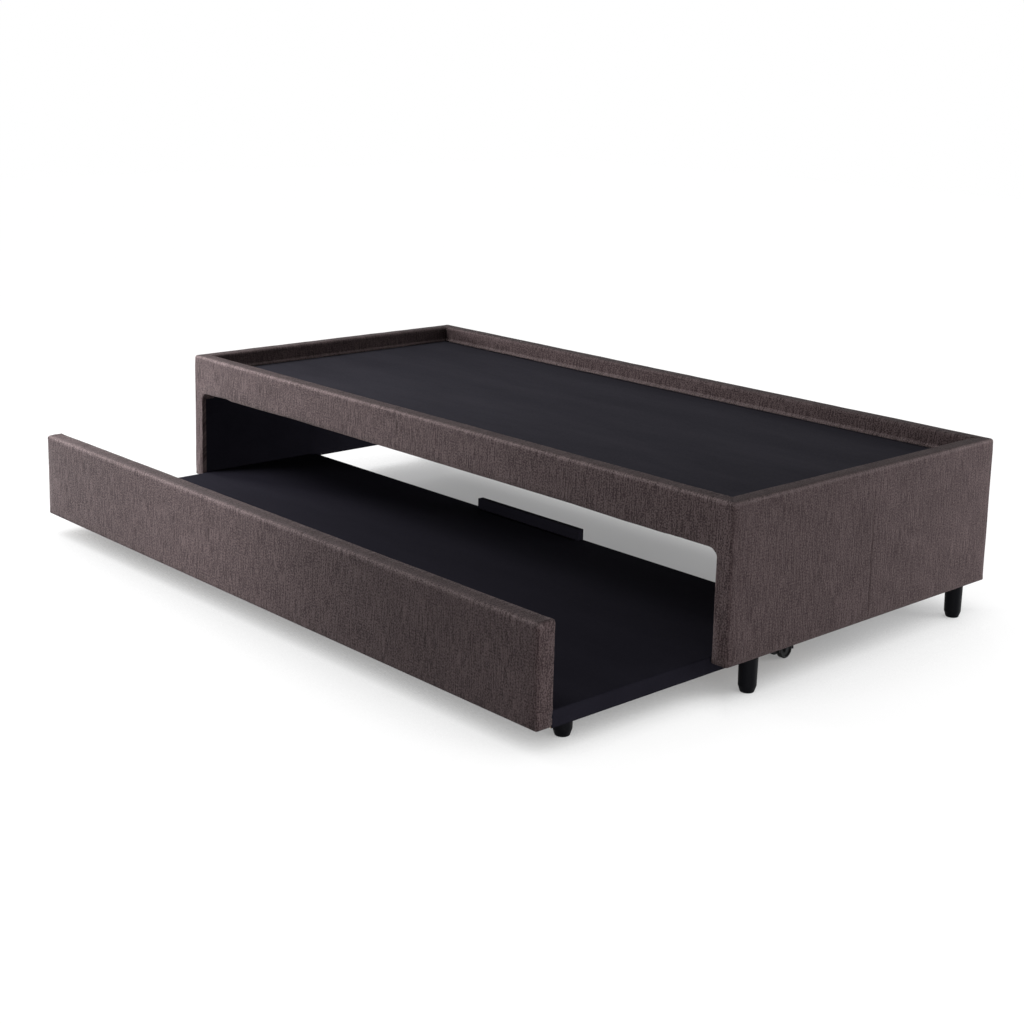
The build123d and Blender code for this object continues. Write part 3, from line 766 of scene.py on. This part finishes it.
def sew_base(shell, look):
    """Tucks at the corners, seams at the mitres and at the middle of the ends, and a slow unevenness."""
    rest = stored(shell, "rest")
    normals = normals_of(shell)
    from_long, from_end = from_edges(rest)
    below = BASE_HIGH.z - rest[:, 2]
    inward = np.minimum(from_long, from_end)
    outside = (inward < look.edge_round + MARGIN) & (below > MARGIN)

    around = from_end - from_long
    move = -0.3 * look.seam_depth * bump(around, look.seam_width)

    fan_length = 0.04
    smooth_top = 0.035
    window = bump(around, look.tuck_reach)
    phase = 3.0 * waves(rest * (1, 1, 0.15), 0.08, 4.0)
    ripple = np.cos(around * 2 * math.pi / look.tuck_spacing + phase)
    top_fan = 0.7 * look.tuck_depth * np.exp(-np.maximum(below, 0) / fan_length) * window
    upright = 0.6 * look.tuck_depth * window * (0.6 + 0.6 * waves(rest * (0.2, 0.2, 1), 0.12, 9.0))
    tucks = (top_fan + upright) * (0.6 + 0.6 * ripple) * np.clip(below / smooth_top, 0, 1)
    move += np.where(outside, tucks, 0.2 * top_fan * ripple)

    allowance_place = 0.006
    allowance_width = 0.004
    on_end = from_end < from_long
    across = rest[:, 1] - BASE_MIDDLE
    pucker = 1 + 0.5 * waves(rest, 0.012, 2.0)
    seam = -0.9 * look.seam_depth * bump(across, look.seam_width) * pucker
    seam += 0.4 * look.seam_depth * bump(across - allowance_place, allowance_width)
    move += np.where(on_end, seam * np.clip(0.2 + below / 0.25, 0, 1), 0.0)

    move = np.maximum(move + unevenness(rest, 1.0, 7.0), -0.9 * look.seam_depth)
    move *= loose_above(rest, BASE_LOW)
    places = points_of(shell) + normals * move[:, None]
    on_lip = (inward > look.rim_width - 0.0005) & (below < BASE_HIGH.z - DECK_HIGH.z)
    places[:, 2] += np.where(on_lip, 0.0011 * waves(rest, 0.09, 5.0), 0.0)
    move_points(shell, places)


def lay_cloth(obj, across, along, stretched_and_highlighted, contrast):
    """Keep each point's place on the flat cloth, its share of the paler thread for stretched fabric and a
    painted highlight, and its slubs' contrast, raised on the long faces as painted raking-light shade.
    """
    store(obj, "cloth", np.stack([across, along, np.zeros_like(across)], axis=1))
    for name, values in (("stretched_and_highlighted", stretched_and_highlighted), ("contrast", np.full_like(across, contrast))):
        attribute = obj.data.attributes.new(name, "FLOAT", "POINT")
        attribute.data.foreach_set("value", values.astype(np.float32))


# How much more the slubs' colour contrast shows on the long faces: painted raking-light shade, where the
# light rakes along the bed
RAKING_SHADE_CONTRAST = 1.75


def crest(first, second, size):
    """One on the middle of a rounded edge, by the distances to its two faces, and nought off it."""
    return np.clip(1 - np.abs(first - second) / size, 0, 1) * bump(np.minimum(first, second), size)


def cloth_on_base(obj, look, along_x):
    """Unroll a cover of the base: up its face, over the rim and down to the lip."""
    rest = stored(obj, "rest")
    from_long, from_end = from_edges(rest)
    depth, run = (from_long, rest[:, 0]) if along_x else (from_end, rest[:, 1])
    height = rest[:, 2]
    top = BASE_HIGH.z
    rim_foot = OPENING_TOP + 0.01
    inner = depth > look.rim_width / 2
    under = (height < OPENING_TOP + 0.004) & (depth > look.hem_round)
    along = np.where(inner & (height > rim_foot), depth + 2 * top - height, height + depth)
    along = np.where(under, height - depth, along)
    below = top - height
    # Paler thread on the outer and inner top edges and on the lip: stretched fabric and a painted highlight
    stretched_edge_highlight = (0.75 if along_x else 0.5) * crest(depth, below, 1.1 * look.edge_round)
    stretched_edge_highlight += 0.25 * crest(look.rim_width - depth, below, look.edge_round)
    lip_top = DECK_HIGH.z + look.lip_height + 0.002
    on_lip = (depth > look.rim_width - 0.002) & (height < lip_top) & (height > rim_foot)
    # Slubs' contrast raised on the long faces as painted raking-light shade
    contrast = RAKING_SHADE_CONTRAST if along_x else 1.0
    lay_cloth(obj, run, along, stretched_edge_highlight + 0.4 * on_lip, contrast)


def split_covers(shell):
    """Cut the skin at its mitres and part it into the four covers."""
    corner_reach = 0.12
    for x, y in ((-1, -1), (-1, 1), (1, -1), (1, 1)):
        corner = Vector((BASE_HIGH.x * x, BASE_LOW.y if y < 0 else BASE_HIGH.y, 0))
        pick(shell, "FACE", lambda middle, normal: (middle - corner).xy.length < corner_reach)
        with editing(shell):
            bpy.ops.mesh.bisect(plane_co=corner, plane_no=Vector((x, -y, 0)).normalized())

    def side_of(middle):
        from_end = BASE_HIGH.x - abs(middle.x)
        from_front, from_back = middle.y - BASE_LOW.y, BASE_HIGH.y - middle.y
        if from_end < min(from_front, from_back):
            return "end_cover_left" if middle.x < 0 else "end_cover_right"
        return "front_cover" if from_front < from_back else "back_cover"

    pieces = {}
    for node in BASE_COVERS[1:]:
        pick(shell, "FACE", lambda middle, normal: side_of(middle) == node)
        before = set(bpy.data.objects)
        with editing(shell):
            bpy.ops.mesh.separate(type="SELECTED")
        pieces[node] = (set(bpy.data.objects) - before).pop()
    pieces[BASE_COVERS[0]] = shell
    return pieces


class BED_OT_base_covers(bpy.types.Operator):
    """Upholster the base with four padded covers"""

    bl_idname = "bed.base_covers"
    bl_label = "Base covers"

    def execute(self, context):
        look = context.scene.bed_upholstery
        shell = base_shell(look)
        store(shell, "rest", points_of(shell))
        puff(shell, look.swell, BASE_LOW.z + 2 * look.hem_round)
        sew_base(shell, look)
        fabric = material_once(FABRIC, upholstery_fabric)
        for node, piece in split_covers(shell).items():
            piece.name = piece.data.name = f"padded_{node}"
            cloth_on_base(piece, look, not node.startswith("end"))
            piece.data.attributes.remove(piece.data.attributes["rest"])
            modify(piece, "SOLIDIFY", thickness=look.wall, offset=-1.0)
            finished(piece, fabric, "upholstery", "bed_base", node)
        return {"FINISHED"}


# Upholstery of the trundle's front

class BED_OT_trundle_front(bpy.types.Operator):
    """Upholster the trundle's front panel"""

    bl_idname = "bed.trundle_front"
    bl_label = "Trundle front"

    def execute(self, context):
        look = context.scene.bed_upholstery
        start = START_SHARE * look.swell
        low, high = PANEL_LOW + Vector((0, start, 0)), PANEL_HIGH - Vector((0, start, start))
        panel = add_block("padded_trundle_front", low, high)
        round_edges(panel, lambda a, b: not near(a.y, b.y), look.edge_round, 5)
        round_edges(panel, lambda a, b: max(a.y, b.y) < low.y + TOUCH, look.edge_round * 0.7, 4)
        round_edges(panel, lambda a, b: min(a.y, b.y) > high.y - TOUCH, look.hem_round, 3)
        close = [look.edge_round + gap for gap in (0.003, 0.008, 0.014)]
        platform = PLATFORM_HIGH.z + MARGIN
        cut_loops(panel, 0, graded(low.x, high.x, look.loop_step, close))
        cut_loops(panel, 1, [low.y + (high.y - low.y) * share for share in (0.35, 0.5, 0.65)])
        cut_loops(panel, 2, [platform] + graded(low.z, high.z, look.loop_step, close))
        drop_faces(panel, lambda middle, normal: middle.y > high.y - 0.002 and middle.z < platform)
        rest = points_of(panel)
        puff(panel, look.swell, PANEL_LOW.z + 2 * look.hem_round)
        self.tuck(panel, rest, look)
        self.lay(panel, rest, look)
        modify(panel, "SOLIDIFY", thickness=look.wall, offset=-1.0)
        fabric = material_once(FABRIC, upholstery_fabric)
        finished(panel, fabric, "upholstery", "trundle", "trundle_front_cover")
        return {"FINISHED"}

    def tuck(self, panel, rest, look):
        """Gathers at the upper corners and a slow unevenness over the whole."""
        from_end = PANEL_HIGH.x - np.abs(rest[:, 0])
        below = PANEL_HIGH.z - rest[:, 2]
        depth = rest[:, 1] - PANEL_LOW.y
        edge = 0.004
        fold_spacing = 0.0135
        fold_fade = 0.018
        deepest = -0.0009
        end_face = bump(np.maximum(from_end - edge, 0), 0.012)
        fold = 0.6 + 0.6 * np.cos(depth * 2 * math.pi / fold_spacing + 0.8)
        move = look.tuck_depth * end_face * np.exp(-np.maximum(below - edge, 0) / fold_fade) * fold
        move -= 0.6 * look.seam_depth * bump(from_end - depth, 0.0025) * bump(np.maximum(below, 0), 0.02)
        move = np.maximum(move + unevenness(rest, 3.0, 5.0), deepest)
        move *= loose_above(rest, PANEL_LOW)
        move_points(panel, points_of(panel) + normals_of(panel) * move[:, None])

    def lay(self, panel, rest, look):
        """Unroll the cover: up its front, over the top and down behind."""
        depth = rest[:, 1] - PANEL_LOW.y
        below = PANEL_HIGH.z - rest[:, 2]
        thick = PANEL_HIGH.y - PANEL_LOW.y
        behind = depth > thick * 0.6
        along = np.where(behind, depth + 2 * PANEL_HIGH.z - rest[:, 2], rest[:, 2] + depth)
        from_end = PANEL_HIGH.x - np.abs(rest[:, 0])
        end_face = from_end < 0.004
        across = np.where(end_face, rest[:, 0] + np.sign(rest[:, 0]) * depth, rest[:, 0])
        along = np.where(end_face, rest[:, 2], along)
        # Paler thread on the front and back top edges: stretched fabric and a painted highlight
        stretched_edge_highlight = 0.65 * crest(depth, below, 1.1 * look.edge_round)
        stretched_edge_highlight += 0.25 * crest(thick - depth, below, look.edge_round)
        # The slubs' contrast raised on this long face as painted raking-light shade
        lay_cloth(panel, across, along, stretched_edge_highlight, RAKING_SHADE_CONTRAST)


# Black cloth

# Distance between the loops of a cloth, in metres
CLOTH_STEP = 0.02


def nonwoven(name, *shades):
    """Thin matt non-woven cloth, from its dark shade to its light one."""
    return felt_material(name, shades, fibre=0.005, rough=(0.95, 0.85), depth=0.0003)


def deck_finish(name):
    """The charcoal cloth of the mattress deck."""
    look = bpy.context.scene.bed_cloth
    return nonwoven(name, look.deck_dark, look.deck_light)


def black_finish(name):
    """The black cloth of the trundle, of the liners and below the base."""
    look = bpy.context.scene.bed_cloth
    return nonwoven(name, look.platform_dark, look.platform_light)


class BED_OT_deck_cloths(bpy.types.Operator):
    """Stretch the black cloths over both decks and under the base"""

    bl_idname = "bed.deck_cloths"
    bl_label = "Deck cloths"

    def flat_cloth(self, name, low, high, sag, seed, thickness):
        """A flat cloth with a slow unevenness, stapled at its edges."""
        clear_selection()
        size = high - low
        bpy.ops.mesh.primitive_grid_add(
            x_subdivisions=round(size.x / CLOTH_STEP), y_subdivisions=round(size.y / CLOTH_STEP), size=1,
            location=((low.x + high.x) / 2, (low.y + high.y) / 2, high.z),
        )
        cloth = bpy.context.active_object
        cloth.name = cloth.data.name = name
        cloth.scale = (size.x, size.y, 1)
        bpy.ops.object.transform_apply(location=True, rotation=True, scale=True)
        places = points_of(cloth)
        edge = np.minimum(
            np.minimum(places[:, 0] - low.x, high.x - places[:, 0]),
            np.minimum(places[:, 1] - low.y, high.y - places[:, 1]),
        )
        held_band = 0.06
        loose = np.clip(edge / held_band, 0, 1)
        places[:, 2] -= sag * loose * (0.6 + 0.4 * waves(places * (0.5, 1, 1), 0.14, seed))
        move_points(cloth, places)
        modify(cloth, "SOLIDIFY", thickness=thickness, offset=-1.0)
        return cloth, (size.x, size.y)

    def platform_cloth(self, thickness):
        """The cloth over the trundle's platform, turned down all round, with a cut for the stop."""
        low, high = PLATFORM_LOW, PLATFORM_HIGH
        cloth = add_block("platform_cloth", low, high)
        drop_faces(cloth, lambda middle, normal: normal.z < -0.9)

        def folded(a, b):
            on_top = min(a.z, b.z) > high.z - TOUCH and max(a.y, b.y) > low.y + MARGIN
            back_corner = not near(a.z, b.z) and min(a.y, b.y) > high.y - TOUCH
            return on_top or back_corner

        fold_round = 0.0025
        round_edges(cloth, folded, fold_round, 3)
        gap = 0.0004
        close = (0.006, 0.012)
        cut_loops(cloth, 0, graded(low.x, high.x, CLOTH_STEP, close))
        cut_loops(cloth, 0, [STOP_LOW.x - gap, STOP_HIGH.x + gap])
        cut_loops(cloth, 1, graded(low.y, high.y, CLOTH_STEP, close))
        cut_loops(cloth, 1, [STOP_LOW.y - gap])
        cut_loops(cloth, 2, graded(low.z, high.z, CLOTH_STEP / 2, (0.004,)))

        def at_stop(middle, normal):
            beside = STOP_LOW.x - gap < middle.x < STOP_HIGH.x + gap
            return beside and middle.y > STOP_LOW.y - gap and middle.z > STOP_LOW.z

        drop_faces(cloth, at_stop)
        places = points_of(cloth)
        normals = normals_of(cloth)
        loose = np.clip((high.z - places[:, 2]) / 0.01, 0.3, 1)
        move = 0.0004 * loose * waves(places * (1, 1, 2), 0.07, 6.0)
        move_points(cloth, places + normals * move[:, None])
        modify(cloth, "SOLIDIFY", thickness=thickness, offset=-1.0)
        return cloth

    def execute(self, context):
        look = context.scene.bed_cloth
        black = material_once(BLACK, black_finish)
        charcoal = material_once("charcoal_nonwoven", deck_finish)
        deck, deck_size = self.flat_cloth("deck_cloth", DECK_LOW, DECK_HIGH, 0.0002, 1.0, look.thickness)
        finished(deck, charcoal, "black_cloth", "bed_base", "deck_cover")

        dust, dust_size = self.flat_cloth("dust_cloth", DUST_LOW, DUST_HIGH, 0.004, 2.0, look.thickness)
        finished(dust, black, "black_cloth", "bed_base", "dust_cover")

        platform = self.platform_cloth(look.thickness)
        finished(platform, black, "black_cloth", "trundle", "trundle_deck_cover")
        return {"FINISHED"}


# Rigid parts that keep the frame's shapes

LENGTHWAYS = (
    "front_rail", "back_rail", "deck_ledger_front", "deck_ledger_back", "trundle_front_rail",
    "trundle_back_rail", "trundle_front_board",
)
CROSSWAYS = (
    "end_top_rail_left", "end_top_rail_right", "end_bottom_rail_left", "end_bottom_rail_right", "deck_slats",
    "trundle_side_rail_left", "trundle_side_rail_right", "trundle_slats", "trundle_corner_blocks",
    "opening_corner_blocks",
)
UPRIGHT = ("post_front_left", "post_front_right", "post_back_left", "post_back_right", "end_studs")
BOARDS = ("deck_panel", "trundle_deck_panel", "end_board_left", "end_board_right")
BLACK_FACED = ("end_liner_left", "end_liner_right", "mattress_stop")


class BED_OT_timber(bpy.types.Operator):
    """Give timber and boards their grain"""

    bl_idname = "bed.timber"
    bl_label = "Timber and boards"

    def execute(self, context):
        look = context.scene.bed_rigid
        quarter = math.pi / 2
        refinish(LENGTHWAYS, pine_material("pine_lengthways", (0, 0, 0)))
        refinish(CROSSWAYS, pine_material("pine_crossways", (0, 0, quarter)))
        refinish(UPRIGHT, pine_material("pine_upright", (0, quarter, 0)))
        shades = (look.board_dark, look.board_light)
        board = felt_material("pressed_board", shades, fibre=0.004, rough=(0.62, 0.5), depth=0.0002)
        refinish(BOARDS, board)
        refinish(BLACK_FACED, material_once(BLACK, black_finish))
        return {"FINISHED"}


class BED_OT_mouldings(bpy.types.Operator):
    """Give legs, feet, casters and hardware their finish"""

    bl_idname = "bed.mouldings"
    bl_label = "Plastic and steel"

    def execute(self, context):
        look = context.scene.bed_rigid
        # Name, colour, size of the grain, roughness, depth of the grain, shine and metal
        leg = moulded_material("leg_plastic", look.leg_colour, 0.0011, (0.45, 0.58), 0.00012, 0.05)
        hood = moulded_material("caster_nylon", look.hood_colour, 0.0009, (0.38, 0.5), 0.0001, 0.15)
        wheel = moulded_material("wheel_nylon", look.wheel_colour, 0.0007, (0.45, 0.6), 0.0001, 0.15)
        axle = moulded_material("blackened_steel", look.axle_colour, 0.0008, (0.4, 0.55), 0.00005, 0.3, 1.0)
        zinc = moulded_material("bright_zinc", look.steel_colour, 0.0008, (0.28, 0.42), 0.00005, 0.5, 1.0)
        hardware = ("bolts", "screws", "inserts", "caster_plate")
        for name in frame["nodes"]:
            if "axle" in name:
                refinish([name], axle)
            elif any(word in name for word in hardware):
                refinish([name], zinc)
            elif name.startswith(("leg_", "trundle_foot_")):
                refinish([name], leg)
            elif name.startswith("caster_hood"):
                refinish([name], hood)
            elif name.startswith("caster_wheel"):
                refinish([name], wheel)
        return {"FINISHED"}


# Studio

# Name, place, target, size and power in watts of each lamp, and its spread where it is narrow
LAMPS = (
    ("key", (-3.6, -0.9, 0.55), (-0.8, -0.4, 0.2), (0.9, 0.9), 208),
    ("front", (-1.9, -1.9, 0.7), (-0.8, -0.7, 0.2), (0.7, 0.7), 22.5),
    ("front_spot", (-0.5, -2.6, 0.5), (-0.2, -0.75, 0.22), (0.5, 0.5), 1.2, 0.6),
    ("corner", (-1.6, -1.1, 1.5), (-0.9, -0.5, 0.2), (0.6, 0.6), 36),
    ("overhead", (0.2, 0.0, 3.0), (0.2, 0.001, 0.0), (4.0, 3.5), 9.5, 1.6),
    ("side", (2.6, -0.3, 0.25), (1.0, 0.2, 0.25), (1.0, 0.4), 4),
    ("side_front", (2.3, -1.3, 0.2), (1.0, -0.6, 0.2), (0.6, 0.36), 12),
    ("side_back", (1.9, 2.3, 0.25), (1.0, 0.6, 0.25), (0.8, 0.4), 34),
    ("far_corner", (2.2, 1.6, 0.6), (1.0, 0.6, 0.3), (0.6, 0.4), 16),
    ("back", (0.0, 3.0, 1.6), (0.0, 0.5, 0.3), (2.4, 1.0), 15),
)


class BED_OT_stage(bpy.types.Operator):
    """Set the floor, the lamps and the camera"""

    bl_idname = "bed.stage"
    bl_label = "Studio"

    def seen(self, tree):
        """One for what the camera sees, straight, in a gloss or through glass, and nought for light."""
        path = put(tree, "ShaderNodeLightPath").outputs
        direct = maths(tree, "MAXIMUM", path["Is Camera Ray"], path["Is Glossy Ray"])
        return maths(tree, "MAXIMUM", direct, path["Is Transmission Ray"])

    def floor_finish(self, glow, under_glow):
        """White glowing floor with the bed's soft shadow painted into its glow by ambient occlusion, and
        painted shade under the base.
        """
        material, tree, shader = new_material("studio_floor")
        tree.nodes.remove(shader)
        result = tree.nodes["Material Output"]
        place = put(tree, "ShaderNodeTexCoord").outputs["Object"]
        parts = put(tree, "ShaderNodeSeparateXYZ", {0: place}).outputs
        beside = maths(tree, "SUBTRACT", maths(tree, "ABSOLUTE", parts["X"]), BASE_HIGH.x)
        from_middle = maths(tree, "ABSOLUTE", maths(tree, "SUBTRACT", parts["Y"], BASE_MIDDLE))
        before = maths(tree, "SUBTRACT", from_middle, BASE_HIGH.y - BASE_MIDDLE)
        # Painted shade under the base: the glow falls from the open floor's to the glow below
        outside = remap(tree, maths(tree, "MAXIMUM", beside, before), -0.25, 0.08, kind="SMOOTHSTEP")
        # Painted shadow: the floor's glow drops where ambient occlusion finds the bed near
        open_share = put(tree, "ShaderNodeAmbientOcclusion", {"Distance": 1.0}, samples=4).outputs["AO"]
        shadow = maths(tree, "POWER", maths(tree, "SUBTRACT", 1.0, open_share), 2.0)
        shadow = maths(tree, "MULTIPLY", shadow, 0.77)
        open_floor = maths(tree, "SUBTRACT", glow, shadow)
        level = remap(tree, outside, to_low=under_glow, to_high=open_floor)
        seen = self.seen(tree)
        pale = blended(tree, outside, (0.48, 0.48, 0.485), (0.08, 0.08, 0.081))
        pale = blended(tree, seen, (0.70, 0.70, 0.71), pale)
        lit = put(tree, "ShaderNodeBsdfDiffuse", {"Color": pale}).outputs[0]
        glowing = {"Color": (1, 1, 1, 1), "Strength": maths(tree, "MULTIPLY", seen, level)}
        shine = put(tree, "ShaderNodeEmission", glowing).outputs[0]
        both = put(tree, "ShaderNodeAddShader", {0: lit, 1: shine}).outputs[0]
        tree.links.new(both, result.inputs["Surface"])
        return material

    def sky(self, strength):
        """Even light from all round, with white behind the bed."""
        world = bpy.data.worlds.new("studio_sky")
        world.use_nodes = True
        tree = world.node_tree
        level = remap(tree, self.seen(tree), to_low=strength, to_high=1.0)
        background = tree.nodes["Background"]
        background.inputs["Color"].default_value = (1, 1, 1, 1)
        tree.links.new(level, background.inputs["Strength"])
        bpy.context.scene.world = world

    def lamp(self, name, place, target, size, power, spread=math.pi):
        """A soft lamp that faces a target."""
        clear_selection()
        bpy.ops.object.light_add(type="AREA", location=place)
        lamp = bpy.context.active_object
        lamp.name = lamp.data.name = name
        lamp.data.shape = "RECTANGLE"
        lamp.data.size, lamp.data.size_y = size
        lamp.data.energy = power
        lamp.data.spread = spread
        lamp.rotation_euler = (Vector(target) - Vector(place)).to_track_quat("-Z", "Y").to_euler()
        lamp.visible_camera = False

    def camera(self, look):
        """The camera at the photograph's angle."""
        clear_selection()
        bpy.ops.object.camera_add(location=look.camera_place)
        camera = bpy.context.active_object
        camera.data.sensor_width = 36
        camera.data.lens = look.lens
        camera.data.shift_y = look.rise
        turn = (
            Matrix.Rotation(look.heading, 4, "Z")
            @ Matrix.Rotation(math.pi / 2 - look.tilt, 4, "X")
            @ Matrix.Rotation(look.roll, 4, "Z")
        )
        camera.matrix_world = Matrix.Translation(look.camera_place) @ turn
        bpy.context.scene.camera = camera

    def execute(self, context):
        look = context.scene.bed_stage
        context.scene.view_settings.view_transform = "Standard"
        clear_selection()
        bpy.ops.mesh.primitive_plane_add(size=24)
        floor = context.active_object
        floor.name = "studio_floor"
        floor.data.materials.append(self.floor_finish(look.floor_glow, look.under_glow))
        self.sky(look.sky)
        for lamp in LAMPS:
            self.lamp(*lamp)
        self.camera(look)
        return {"FINISHED"}


class BED_PT_sidebar(bpy.types.Panel):
    """Buttons that build each group of pieces"""

    bl_label = "Trundle bed"
    bl_space_type = "VIEW_3D"
    bl_region_type = "UI"
    bl_category = "Bed"

    def draw(self, context):
        for step in OPERATORS:
            self.layout.operator(step.bl_idname)


GROUPS = {
    "bed_upholstery": BED_PG_upholstery, "bed_cloth": BED_PG_cloth,
    "bed_rigid": BED_PG_rigid, "bed_stage": BED_PG_stage,
}
OPERATORS = (
    BED_OT_base_covers, BED_OT_trundle_front, BED_OT_deck_cloths,
    BED_OT_timber, BED_OT_mouldings, BED_OT_stage,
)


def register():
    """Add the settings, the operators and the panel."""
    for kind in (*GROUPS.values(), *OPERATORS, BED_PT_sidebar):
        bpy.utils.register_class(kind)
    for name, kind in GROUPS.items():
        setattr(bpy.types.Scene, name, bpy.props.PointerProperty(type=kind))


def unregister():
    """Take them away again."""
    for name in GROUPS:
        delattr(bpy.types.Scene, name)
    for kind in (BED_PT_sidebar, *OPERATORS, *GROUPS.values()):
        bpy.utils.unregister_class(kind)


def main():
    """Build every piece and the studio."""
    register()
    for step in OPERATORS:
        family, name = step.bl_idname.split(".")
        getattr(getattr(bpy.ops, family), name)()
    clear_selection()


if __name__ == "__main__":
    main()
